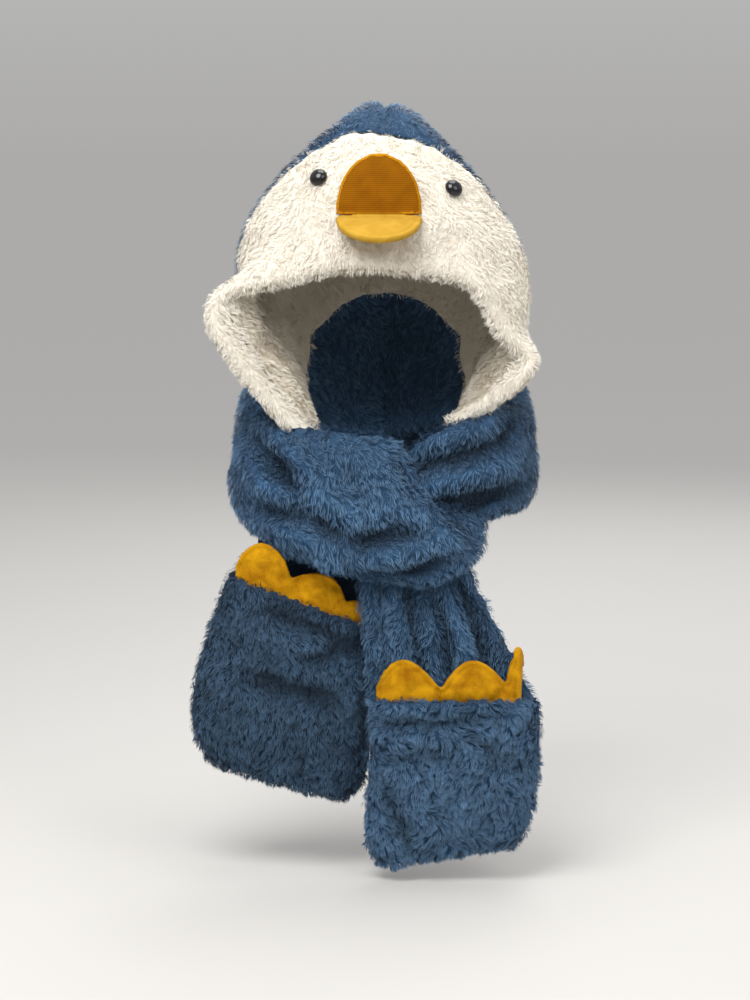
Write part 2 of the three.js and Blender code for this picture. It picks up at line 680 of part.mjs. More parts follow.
// Toe trims: a strip with three lobes that follows the inside of the pocket's mouth and may turn back
function toeTrim(end) {
  const turn = THREE.MathUtils.degToRad(toeTurnAngle);
  const turnBack = new THREE.Vector3(Math.cos(turn), Math.sin(turn), 0);
  const rings = toeLine(end.toes).map(({ along, high: above }) => {
    const reach = end.toeStart + (2 * along) / endWidth;
    const behind = Math.max(0, reach - end.toeTurn) * (endWidth / 2);
    const base = pocketSpot(end, Math.min(reach, end.toeTurn), 0, -sewnGap);
    const direction = behind > 0 ? turnBack : new THREE.Vector3(1, 0, 0);
    const inward = new THREE.Vector3().crossVectors(new THREE.Vector3(0, 0, 1), direction);
    base.addScaledVector(direction, behind);
    const low = base.z - toeTuck;
    const high = base.z + above;
    const flat = [
      new THREE.Vector2(0, low),
      new THREE.Vector2(toeWall, low),
      new THREE.Vector2(toeWall, high - toeWall / 3),
      new THREE.Vector2(toeWall / 2, high),
      new THREE.Vector2(0, high - toeWall / 3),
    ];
    return flat.map((spot) => base.clone().addScaledVector(inward, spot.x).setZ(spot.y));
  });
  return loft(rings);
}

// Beak halves: padded half ovals that hinge on the fold line
function beakHalf(length, angle) {
  const rings = shares(beakSteps).map((share) => {
    const reach = share * length;
    const half = (beakWidth / 2) * Math.sqrt(1 - (share * beakTipShare) ** beakTaper);
    const thick = (beakWall / 2) * (1 - beakTipThin * share ** 4);
    return shares(beakAround).slice(1).map((part) => {
      const cos = rounded(Math.cos(2 * Math.PI * part), beakSideRound);
      const sin = rounded(Math.sin(2 * Math.PI * part), beakFaceRound);
      return new THREE.Vector3(cos * half, sin * thick, reach);
    });
  });
  const geometry = loft(rings);
  geometry.rotateX(THREE.MathUtils.degToRad(angle));
  return geometry;
}

// Build the hood
addPiece('hood_shell', hoodLayer(shellProfile), COLORS.blue, 0.9);
addPiece('face_panel', hoodLayer(panelProfile), COLORS.white, 0.9);
addPiece('hood_lining', hoodLayer(liningProfile), COLORS.cream, 0.9);

const hoodFace = toSolid(hoodLayer(wallProfile(cutGap)));
const hoodSpace = [toSolid(hoodLayer(wallProfile(hoodGap), hoodGap)), toSolid(hoodPlug())];

// Build the scarf
const overGrown = toSolid(band(OVER_ROWS, OVER_FOLDS, -1, cutGap));
const underGrown = toSolid(band(UNDER_ROWS, UNDER_FOLDS, 1, cutGap));
const rightGrown = toSolid(endSlab(ENDS.right, cutGap));
const toeCutters = (end) => [toSolid(endSlab(end, 2 * sewnGap)), toSolid(pocketPanel(end, sewnGap))];
addPiece('wrap_over', cutBy(band(OVER_ROWS, OVER_FOLDS, -1), hoodSpace), COLORS.blue, 0.9);
addPiece('wrap_under', cutBy(band(UNDER_ROWS, UNDER_FOLDS, 1), [...hoodSpace, overGrown]), COLORS.blue, 0.9);
addPiece('tail_right', cutBy(endSlab(ENDS.right), [overGrown, underGrown]), COLORS.blue, 0.9);
addPiece('tail_left', cutBy(endSlab(ENDS.left), [overGrown, underGrown, rightGrown]), COLORS.navy, 0.9);
addPiece('pocket_right', pocketPanel(ENDS.right), COLORS.blue, 0.9);
addPiece('pocket_left', cutBy(pocketPanel(ENDS.left), [rightGrown]), COLORS.blue, 0.9);
addPiece('toes_right', cutBy(toeTrim(ENDS.right), toeCutters(ENDS.right)), COLORS.yellow, 0.85);
const leftToeCutters = [...toeCutters(ENDS.left), rightGrown, overGrown];
addPiece('toes_left', cutBy(toeTrim(ENDS.left), leftToeCutters), COLORS.yellow, 0.85);

// Build the face
const beakPlace = hoodFrame(beakSpot.across, beakSpot.back).point;
const lower = beakHalf(beakLowerLength, 90 + beakLowerDrop);
lower.translate(beakPlace.x, beakPlace.y, beakPlace.z - beakWall / 2);
const upper = beakHalf(beakUpperLength, beakUpperLean);
upper.translate(beakPlace.x, beakPlace.y, beakPlace.z);
addPiece('beak_lower', cutBy(lower, [hoodFace]), COLORS.yellow, 0.85);
addPiece('beak_upper', cutBy(upper, [hoodFace, toSolid(lower)]), COLORS.yellow, 0.85);
for (const spot of EYE_SPOTS) {
  const { point, normal } = hoodFrame(spot.across, spot.back);
  const bead = new THREE.SphereGeometry(eyeRadius, beadAround, beadDown);
  bead.scale(1, eyeDome / eyeRadius, 1);
  const turn = new THREE.Quaternion().setFromUnitVectors(new THREE.Vector3(0, -1, 0), normal);
  bead.applyQuaternion(turn);
  point.addScaledVector(normal, eyeRise);
  bead.translate(point.x, point.y, point.z);
  addPiece(spot.node, cutBy(bead, [hoodFace]), COLORS.black, 0.1);
}

export default group;
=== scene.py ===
# Animal hood scarf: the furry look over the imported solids, with a floor, lights and a camera.
# Tables and the pieces' arguments are in millimetres, and positions are in metres.
import math

import bpy
import numpy as np
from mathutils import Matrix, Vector
from mathutils.bvhtree import BVHTree
from mathutils.kdtree import KDTree


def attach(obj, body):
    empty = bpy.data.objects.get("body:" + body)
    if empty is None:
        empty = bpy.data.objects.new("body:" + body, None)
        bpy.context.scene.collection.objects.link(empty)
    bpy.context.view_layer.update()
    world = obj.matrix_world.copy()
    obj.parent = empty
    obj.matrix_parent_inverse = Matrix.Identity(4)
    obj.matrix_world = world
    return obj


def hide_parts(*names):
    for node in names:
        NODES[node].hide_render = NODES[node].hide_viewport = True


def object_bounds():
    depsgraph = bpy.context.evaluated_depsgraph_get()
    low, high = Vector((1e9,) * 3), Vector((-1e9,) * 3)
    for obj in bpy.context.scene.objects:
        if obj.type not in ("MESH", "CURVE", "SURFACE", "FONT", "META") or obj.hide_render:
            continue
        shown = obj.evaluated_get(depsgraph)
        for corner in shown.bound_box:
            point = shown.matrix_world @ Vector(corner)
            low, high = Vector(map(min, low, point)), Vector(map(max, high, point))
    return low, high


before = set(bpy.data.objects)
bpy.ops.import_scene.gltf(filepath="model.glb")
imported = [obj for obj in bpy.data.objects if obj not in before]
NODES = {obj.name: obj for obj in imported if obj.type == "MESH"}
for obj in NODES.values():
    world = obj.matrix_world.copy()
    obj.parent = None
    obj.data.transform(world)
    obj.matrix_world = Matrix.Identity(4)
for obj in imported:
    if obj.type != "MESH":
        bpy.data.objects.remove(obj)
cad_box = [list(corner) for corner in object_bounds()]
MM = 0.001
BAKE_UV = "OFBake"
DENSITY = 1.0

# Camera: the photograph's size and angle, and the pixel that the target falls on
WIDTH, HEIGHT = 750, 1000
ELEVATION = math.radians(7)
DISTANCE = 2.5
TARGET = Vector((0, -0.060, -0.350))
TARGET_PX = (385, 485.4)
MM_PER_PX = 0.95
SENSOR = 36


def add_object(name, data):
    """A new object in the scene."""
    obj = bpy.data.objects.new(name, data)
    bpy.context.scene.collection.objects.link(obj)
    return obj


def add_camera():
    """The camera that sees the object as the photograph does."""
    data = bpy.data.cameras.new("camera")
    camera = add_object("camera", data)
    camera.location = TARGET - DISTANCE * Vector((0, math.cos(ELEVATION), -math.sin(ELEVATION)))
    camera.rotation_euler = (math.pi / 2 - ELEVATION, 0, 0)
    data.sensor_fit = "HORIZONTAL"
    data.sensor_width = SENSOR
    data.lens = DISTANCE / (MM_PER_PX * MM) * SENSOR / WIDTH
    data.shift_x = -(TARGET_PX[0] - WIDTH / 2) / WIDTH
    data.shift_y = -(HEIGHT / 2 - TARGET_PX[1]) / WIDTH
    bpy.context.scene.camera = camera


add_camera()
bpy.context.scene.view_settings.view_transform = "Standard"


# Small tools

def unit(v):
    """Each vector at length 1."""
    return v / np.maximum(np.linalg.norm(v, axis=-1, keepdims=True), 1e-12)


def hump(far, middle, wide):
    """A smooth hump over distance, 1 at its middle."""
    return np.exp(-((far - middle) / wide) ** 2)


def many(count):
    return int(count * DENSITY)


class Noise:
    """Smooth noise of position: a sum of seeded waves of about the given size, from -1 to 1."""

    def __init__(self, size, seed, waves=10):
        rng = np.random.default_rng(seed)
        way = unit(rng.normal(size=(waves, 3)))
        self.turn = way * (2 * math.pi / size) * rng.uniform(0.6, 1.5, (waves, 1))
        self.phase = rng.uniform(0, 2 * math.pi, waves)

    def __call__(self, p):
        return np.sin(p @ self.turn.T + self.phase).sum(1) / math.sqrt(len(self.phase)) * 0.8


def mesh_arrays(mesh):
    """Points, vertex normals and triangles of a mesh."""
    mesh.calc_loop_triangles()
    points = np.empty(len(mesh.vertices) * 3)
    mesh.vertices.foreach_get("co", points)
    normals = np.empty(len(mesh.vertices) * 3)
    mesh.vertex_normals.foreach_get("vector", normals)
    tris = np.empty(len(mesh.loop_triangles) * 3, dtype=np.int32)
    mesh.loop_triangles.foreach_get("vertices", tris)
    return points.reshape(-1, 3), normals.reshape(-1, 3), tris.reshape(-1, 3)


def build_mesh(name, points, corners, counts, uvs=None):
    """A smooth mesh from flat arrays: corner indices, corners per face, and a UV pair for each corner."""
    mesh = bpy.data.meshes.new(name)
    mesh.vertices.add(len(points))
    mesh.vertices.foreach_set("co", points.astype(np.float32).ravel())
    mesh.loops.add(len(corners))
    mesh.loops.foreach_set("vertex_index", corners.astype(np.int32))
    mesh.polygons.add(len(counts))
    starts = np.concatenate([[0], np.cumsum(counts)[:-1]]).astype(np.int32)
    mesh.polygons.foreach_set("loop_start", starts)
    mesh.polygons.foreach_set("loop_total", counts.astype(np.int32))
    mesh.update(calc_edges=True)
    if uvs is not None:
        layer = mesh.uv_layers.new(name=BAKE_UV)
        layer.data.foreach_set("uv", uvs.astype(np.float32).ravel())
    mesh.polygons.foreach_set("use_smooth", np.ones(len(counts), dtype=bool))
    return mesh


def vertex_normals(points, tris):
    """Normals of the points, weighted by the areas of their triangles."""
    a, b, c = (points[tris[:, k]] for k in range(3))
    face = np.cross(b - a, c - a)
    out = np.zeros_like(points)
    for k in range(3):
        np.add.at(out, tris[:, k], face)
    return unit(out)


def placed_copy(node):
    """A copy of a CAD solid's mesh, in the row frame."""
    mesh = node.data.copy()
    mesh.transform(node.matrix_world)
    return mesh


def remeshed(node, voxel=None, cuts=0, smooth=4):
    """A fine, smoothed copy of a CAD solid, as arrays."""
    obj = add_object(node + "_base", placed_copy(NODES[node]))
    weld = obj.modifiers.new("weld", "WELD")
    weld.merge_threshold = 0.02 * MM
    if voxel:
        mod = obj.modifiers.new("remesh", "REMESH")
        mod.mode = "VOXEL"
        mod.voxel_size = voxel * MM
    if cuts:
        mod = obj.modifiers.new("cuts", "SUBSURF")
        mod.levels = mod.render_levels = cuts
    mod = obj.modifiers.new("smooth", "SMOOTH")
    mod.iterations = smooth
    mod.factor = 0.5
    graph = bpy.context.evaluated_depsgraph_get()
    graph.update()
    done = bpy.data.meshes.new_from_object(obj.evaluated_get(graph))
    arrays = mesh_arrays(done)
    bpy.data.objects.remove(obj)
    bpy.data.meshes.remove(done)
    return arrays


def stands_for(obj, node):
    """Puts an object in place of a CAD solid, rigidly."""
    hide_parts(node)
    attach(obj, "root")


# What each point of a skin can see past the CAD solids

def solids_tree():
    """All the CAD solids as one tree."""
    points, tris, start = [], [], 0
    for node in NODES.values():
        mesh = placed_copy(node)
        p, _, t = mesh_arrays(mesh)
        points.append(p)
        tris.append(t + start)
        start += len(p)
        bpy.data.meshes.remove(mesh)
    return BVHTree.FromPolygons(np.concatenate(points).tolist(), np.concatenate(tris).tolist())


TREE = solids_tree()
# One ray goes straight out and a ring of them leans from it, as far as they reach
RING_RAYS = 6
RING_TILT = 0.9
REACH = 0.07
FIRST_STEP = 0.0012
STEP = 1e-5


def openness(points, normals):
    """How open each point's sky is, from 0 to 1, and the free distance straight out."""
    helper = np.where(np.abs(normals[:, 2:3]) > 0.8, [[1.0, 0, 0]], [[0, 0, 1.0]])
    side = unit(np.cross(normals, helper))
    other = np.cross(normals, side)
    score = np.zeros(len(points))
    straight = np.full(len(points), REACH)
    start = points + normals * FIRST_STEP
    for ray in range(1 + RING_RAYS):
        tilt = 0.0 if ray == 0 else RING_TILT
        angle = max(ray - 1, 0) * 2 * math.pi / RING_RAYS
        way = normals * math.cos(tilt) + (side * math.cos(angle) + other * math.sin(angle)) * math.sin(tilt)
        for i in range(len(points)):
            at, gone = start[i], 0.0
            while True:
                spot, face, _, far = TREE.ray_cast(at, way[i], max(REACH - gone, 1e-6))
                # A face that looks the ray's way is the point's own outside, which the smooth skin lies under
                if spot is None or face.dot(way[i].tolist()) < 0:
                    break
                at, gone = np.array(spot) + way[i] * STEP, gone + far + STEP
            if spot is None:
                score[i] += 1
            elif ray == 0:
                straight[i] = gone + far
    return score / (1 + RING_RAYS), straight


# Materials

# Where along a strand, from root to tip, its four colours are; the darker colours at the root are painted
# shade down in the pile
FUR_PLACES = (0.0, 0.35, 0.75, 1.0)


def node_material(name):
    """A new material, with its node tree and its shader."""
    material = bpy.data.materials.new(name)
    material.use_nodes = True
    tree = material.node_tree
    return material, tree, tree.nodes["Principled BSDF"]


def color(rgb):
    """A colour from 0 to 255 as the linear colour that the nodes take."""
    line = [c / 12.92 if c <= 0.04045 else ((c + 0.055) / 1.055) ** 2.4 for c in (v / 255 for v in rgb)]
    return (*line, 1)


def set_inputs(node, values):
    """Sets the inputs of a node by their names."""
    for name, value in values.items():
        node.inputs[name].default_value = value


def color_ramp(tree, stops):
    """A colour ramp from (place, colour) pairs."""
    ramp = tree.nodes.new("ShaderNodeValToRGB")
    elements = ramp.color_ramp.elements
    while len(elements) < len(stops):
        elements.new(0.5)
    for element, (place, rgb) in zip(elements, stops):
        element.position = place
        element.color = color(rgb)
    return ramp


def fur_material(name, colors, shade=(0.25, 1.7), sheen=0.15, tint=(190, 210, 235)):
    """Fur: the colour runs from root to tip along V, darker at the root as painted shade in the pile, and
    each strand's own shade lies along U.
    """
    material, tree, shader = node_material(name)
    uv = tree.nodes.new("ShaderNodeUVMap")
    uv.uv_map = BAKE_UV
    split = tree.nodes.new("ShaderNodeSeparateXYZ")
    ramp = color_ramp(tree, list(zip(FUR_PLACES, colors)))
    span = tree.nodes.new("ShaderNodeMapRange")
    set_inputs(span, {"To Min": shade[0], "To Max": shade[1]})
    scale = tree.nodes.new("ShaderNodeVectorMath")
    scale.operation = "SCALE"
    tree.links.new(uv.outputs[0], split.inputs[0])
    tree.links.new(split.outputs[1], ramp.inputs[0])
    tree.links.new(split.outputs[0], span.inputs["Value"])
    tree.links.new(ramp.outputs[0], scale.inputs[0])
    tree.links.new(span.outputs[0], scale.inputs["Scale"])
    tree.links.new(scale.outputs[0], shader.inputs["Base Color"])
    set_inputs(shader, {"Roughness": 0.75, "Specular IOR Level": 0.3, "Sheen Weight": sheen,
                        "Sheen Roughness": 0.4, "Sheen Tint": color(tint)})
    return material


def velvet_material(name, light, dark, sheen_tint, ribs=False):
    """Short-piled velvet: cloudy brushed patches and a fine nap, or fine level ribs."""
    material, tree, shader = node_material(name)
    place = tree.nodes.new("ShaderNodeTexCoord")
    cloud = tree.nodes.new("ShaderNodeTexNoise")
    set_inputs(cloud, {"Scale": 60, "Detail": 5, "Distortion": 0.6})
    if ribs:
        relief = tree.nodes.new("ShaderNodeTexWave")
        relief.bands_direction = "Z"
        set_inputs(relief, {"Scale": 170, "Distortion": 1.2, "Detail": 2, "Detail Scale": 3})
    else:
        relief = tree.nodes.new("ShaderNodeTexNoise")
        set_inputs(relief, {"Scale": 900, "Detail": 3})
    mix = tree.nodes.new("ShaderNodeMath")
    mix.operation = "MULTIPLY_ADD"
    mix.inputs[1].default_value = 0.35
    ramp = color_ramp(tree, [(0.45, dark), (0.85, light)])
    bump = tree.nodes.new("ShaderNodeBump")
    set_inputs(bump, {"Strength": 0.35, "Distance": 0.0006})
    for texture in (cloud, relief):
        tree.links.new(place.outputs["Object"], texture.inputs["Vector"])
    tree.links.new(relief.outputs[0], mix.inputs[0])
    tree.links.new(cloud.outputs[0], mix.inputs[2])
    tree.links.new(mix.outputs[0], ramp.inputs[0])
    tree.links.new(ramp.outputs[0], shader.inputs["Base Color"])
    tree.links.new(relief.outputs[0], bump.inputs["Height"])
    tree.links.new(bump.outputs[0], shader.inputs["Normal"])
    set_inputs(shader, {"Roughness": 0.85, "Specular IOR Level": 0.1, "Sheen Weight": 0.12,
                        "Sheen Roughness": 0.35, "Sheen Tint": color(sheen_tint)})
    return material


def bead_material(name, dark, light):
    """Polished dark plastic with faint clouds."""
    material, tree, shader = node_material(name)
    cloud = tree.nodes.new("ShaderNodeTexNoise")
    set_inputs(cloud, {"Scale": 300})
    ramp = color_ramp(tree, [(0.0, dark), (1.0, light)])
    tree.links.new(cloud.outputs[0], ramp.inputs[0])
    tree.links.new(ramp.outputs[0], shader.inputs["Base Color"])
    set_inputs(shader, {"Roughness": 0.12, "Specular IOR Level": 0.35, "Coat Weight": 0.4,
                        "Coat Roughness": 0.05})
    return material


BLUE = fur_material("blue_fur", [(17, 38, 58), (42, 73, 103), (81, 113, 143), (118, 147, 174)], sheen=0.1)
# A darker copy of the blue fur: painted shade on the left tail, which hangs down under the wrap
SHADED_BLUE = fur_material("navy_fur", [(10, 18, 30), (24, 42, 62), (44, 68, 94), (68, 94, 120)])
WHITE = fur_material("white_fur", [(214, 203, 184), (231, 223, 208), (239, 233, 221), (243, 239, 229)],
                     shade=(0.88, 1.06), tint=(255, 252, 246))
CREAM = fur_material("cream_fleece", [(200, 187, 164), (221, 210, 190), (235, 227, 211), (240, 234, 221)],
                     shade=(0.74, 1.12), tint=(255, 250, 240))
YELLOW = velvet_material("yellow_velvet", (206, 150, 14), (152, 97, 1), (246, 200, 80))
# A paler copy of the yellow velvet: painted light on the lower beak's upturned face
LIT_YELLOW = velvet_material("lit_yellow_velvet", (186, 146, 52), (170, 129, 38), (250, 222, 130))
EDGE_YELLOW = velvet_material("edge_yellow_velvet", (192, 132, 12), (164, 106, 4), (246, 200, 80))
# The upper beak's ribbed mustard felt, made darker as painted shade on the beak's inner face
SHADED_MUSTARD = velvet_material("shaded_mustard_felt", (146, 90, 2), (126, 75, 1), (190, 130, 20), ribs=True)


# Folds

# Creases in the front faces: three points (x, z) along each, its half width and its depth
OVER_CREASES = [
    (-137, -289, -109, -319, -78, -348, 9, 13.8),
    (-117, -365, -86, -367, -51, -372, 9, 10),
    (-58, -383, -21, -385, 16, -372, 9, 10),
    (-36, -402, -3, -392, 36, -382, 9, 10),
    (-30, -422, 14, -421, 56, -406, 9, 10),
    (12, -307, 21, -341, 36, -361, 8, 5),
    (51, -365, 71, -376, 78, -398, 8, 7.5),
]
UNDER_CREASES = [
    (17, -325, 60, -316, 110, -301, 9, 12.5),
    (32, -358, 78, -354, 128, -348, 9, 11.2),
    (122, -265, 117, -283, 113, -300, 8, 7.5),
]
TAIL_CREASES = [
    (22, -432, 29, -476, 36, -520, 8, 12),
    (42, -433, 52, -470, 62, -522, 8, 12),
    (66, -433, 80, -464, 95, -512, 8, 12),
    (88, -440, 100, -470, 112, -505, 7, 7),
]
LEFT_CREASES = [
    (-109, -458, -64, -476, -25, -492, 9, 5),
    (-78, -506, -51, -500, -19, -490, 8, 5),
    (-124, -525, -87, -532, -51, -543, 10, 5),
]
RIGHT_CREASES = [
    (-10, -561, 41, -558, 106, -550, 7, 5),
    (71, -569, 98, -585, 128, -606, 8, 4),
    (1, -623, 12, -656, 25, -684, 9, 5),
    (14, -595, 41, -587, 64, -595, 8, 4),
]
# Where the band below goes in under the band on top: x and z along the line
TUCK_LINE = [(21, -299), (18, -328), (26, -344), (34, -359), (65, -364), (92, -364)]
TUCK_PUSH, TUCK_WIDTH = 8, 10
# The hood's hem behind the face, by angle from the back in degrees: its height once smoothed, and its drop
HEM_ANGLE = (0, 30, 45, 60, 75, 90)
HEM_HEIGHT = (-164, -191, -224, -253, -271, -280)
HEM_DROP = (9, 15, 16, 12, 4, 0)
HEM_REACH = 0.04
SEAM_WIDTH, SEAM_DEPTH = 5, 2.5
NAPE_LAP = 1.2
BACK_RISE = 5

DOWN = np.array([0.0, 0.0, -1.0])


def segment_distance(flat, a, b):
    """Distance of each point from the segment a to b, and how far along it is nearest, from 0 to 1."""
    ab = b - a
    t = np.clip((flat - a) @ ab / (ab @ ab), 0, 1)
    return np.linalg.norm(flat - a - t[:, None] * ab, axis=1), t


def creased(rows):
    """A shape that presses creases into the open faces that look to the front, with a soft ridge beside each.
    It also tells how far each point lies down in a crease, from -1 on a ridge to 1, which the fur turns into
    painted shade in the creases and painted light on the ridges."""
    def press(points, normals, give):
        face = np.clip(-normals[:, 1] * 1.6 + 0.1, 0, 1) * give
        flat = points[:, [0, 2]]
        depth = np.zeros(len(points))
        down = np.zeros(len(points))
        for x0, z0, x1, z1, x2, z2, wide, deep in rows:
            line = np.array([(x0, z0), (x1, z1), (x2, z2)]) * MM
            near = np.full(len(points), np.inf)
            along = np.zeros(len(points))
            for k in range(2):
                gap, t = segment_distance(flat, line[k], line[k + 1])
                along = np.where(gap < near, (k + t) / 2, along)
                near = np.minimum(near, gap)
            strength = np.clip(np.sin(math.pi * (0.12 + 0.76 * along)) * 1.4, 0, 1)
            q = near / (wide * MM)
            profile = strength * (hump(q, 0, 1) - 0.35 * hump(q, 2.2, 0.9))
            depth += deep * MM * profile
            down += np.clip(deep / 8, 0.4, 1.2) * profile
        return points - normals * (depth * face)[:, None], np.clip(down * face, -1, 1)
    return press


def let_down(points):
    """The smoothed hem goes back down inside the scarf, so that no slit shows between them."""
    angle = np.degrees(np.arctan2(np.abs(points[:, 0]), points[:, 1] + 0.02))
    above = points[:, 2] - np.interp(angle, HEM_ANGLE, HEM_HEIGHT) * MM
    drop = np.interp(angle, HEM_ANGLE, HEM_DROP) * MM * np.clip(1 - above / HEM_REACH, 0, 1)
    return points + drop[:, None] * DOWN


def hood_shape(points, normals, give):
    """The middle seam pulls the crown in, and the hem is let down. Half the seam's groove comes back as the
    fold, for painted shade along the seam.
    """
    top = np.clip((points[:, 2] + 0.07) / 0.04, 0, 1) * np.clip((0.02 - points[:, 1]) / 0.03, 0, 1) * give
    groove = hump(points[:, 0], 0, SEAM_WIDTH * MM) * top
    return let_down(points - normals * (SEAM_DEPTH * MM * groove)[:, None]), 0.5 * groove


def lining_shape(points, normals, give):
    """The hem is let down with the hood's."""
    return let_down(points), np.zeros(len(points))


def back_rise(points, normals):
    """How far the band's upper edge stands up against the hood, behind."""
    up = BACK_RISE * MM * np.clip((normals[:, 2] - 0.1) / 0.5, 0, 1)
    return up * np.clip((points[:, 1] + 0.02) / 0.04, 0, 1)


def tucked(points):
    """The edge of the band below is pushed in under the band on top."""
    line = np.array(TUCK_LINE) * MM
    near = np.full(len(points), np.inf)
    for a, b in zip(line[:-1], line[1:]):
        near = np.minimum(near, segment_distance(points[:, [0, 2]], a, b)[0])
    push = TUCK_PUSH * MM * hump(near, 0, TUCK_WIDTH * MM) * (points[:, 1] < -0.06)
    return points + push[:, None] * np.array([-0.7, 0, -0.7])


def met_at_nape(points):
    """The smoothed ends of the two bands come back together at the nape seam."""
    near = np.clip(1 - np.abs(points[:, 0]) / 0.02, 0, 1) * (points[:, 1] > 0.06)
    out = points.copy()
    side = np.sign(points[:, 0].mean())
    out[:, 0] -= near ** 2 * (out[:, 0] + side * NAPE_LAP * MM)
    return out


def wrapped(rows, tuck=False):
    """The shape of a band round the neck: its creases, its upper edge, and where it meets the other band."""
    def shape(points, normals, give):
        moved, fold = creased(rows)(points, normals, give)
        moved = moved - back_rise(points, normals)[:, None] * DOWN
        if tuck:
            moved = tucked(moved)
        return met_at_nape(moved), fold
    return shape


# The way that the pile lies

def comb(p, n, bias):
    """Down the surface, pushed by bias, which is a vector or a function of places and normals."""
    way = np.broadcast_to(DOWN + np.asarray(bias(p, n) if callable(bias) else bias), p.shape).copy()
    spare = np.stack([0.25 * np.sign(p[:, 0] + 1e-9), 0.6 * np.sign(p[:, 1] + 0.02), np.zeros(len(p))], 1)
    flat = np.abs(n[:, 2:3]) ** 4
    way = way * (1 - flat) + spare * flat
    way -= n * (way * n).sum(1, keepdims=True)
    return unit(way)


def spin(v, axis, angle):
    """Vectors turned about axes at right angles to them."""
    c, s = np.cos(angle)[:, None], np.sin(angle)[:, None]
    return v * c + np.cross(axis, v) * s


def hood_comb(p, n):
    """Down from the crown, forward over the seam at the face, and parted along the middle."""
    front = np.clip((-0.03 - p[:, 1]) / 0.03, 0, 1)
    part = np.sign(p[:, 0]) * hump(p[:, 0], 0, 0.03) * np.clip((p[:, 2] + 0.06) / 0.04, 0, 1)
    return np.stack([0.9 * part, -1.5 * front, 0 * front], 1)


def turned_in(p, n):
    """How much of the face panel's surface looks into the hood."""
    return np.clip(-1.5 * n[:, 0] * np.sign(p[:, 0]) - n[:, 2], 0, 1)


def rim_comb(p, n):
    """Inside the rim, the pile lies back over the lining."""
    zero = np.zeros(len(p))
    return np.stack([zero, 2.2 * turned_in(p, n), 0.6 * turned_in(p, n)], 1)


def rim_longer(p, n):
    """Inside the rim, the pile is longer by this share."""
    return 0.5 * turned_in(p, n)


HOOD_MIDDLE = np.array([0, 0, -0.15])


def seen_inside(p, n):
    """The lining's pile is on its inner face, and most of it near the opening, where it shows."""
    inner = (unit(p - HOOD_MIDDLE) * n).sum(1) < 0.2
    return inner * (0.25 + 0.75 * np.clip((0.02 - p[:, 1]) / 0.03, 0, 1))


# Fur

# Free distance straight out: where a face starts to count as bare, over what span, and where it closes up
BARE_FROM, BARE_SPAN, CLOSE_UNDER = 0.003, 0.006, 0.004
# Share of the strands that a face keeps where it is nearly shut in
THIN = 0.12
# Spread of the clumps, and of the strands in each clump
CLUMP_TURN, CLUMP_SIZE, CLUMP_RISE, CLUMP_SHADE = 0.38, (0.8, 1.2), (0.75, 1.3), 0.055
STRAND_TURN, STRAND_SIZE, STRAND_RISE, STRAND_SHADE = 0.16, (0.7, 1.15), (0.7, 1.3), 0.05
STRAND_WIDTH, STRAND_PULL, STRAND_TILT = (0.7, 1.2), (0.5, 1.0), 0.45
ROOT_DEPTH = 0.6
# Root, side, tip and side of a strand along V, and how far its sides are from its middle along U
STRAND_V = (0.1, 0.55, 0.98, 0.55)
STRAND_U = 0.012


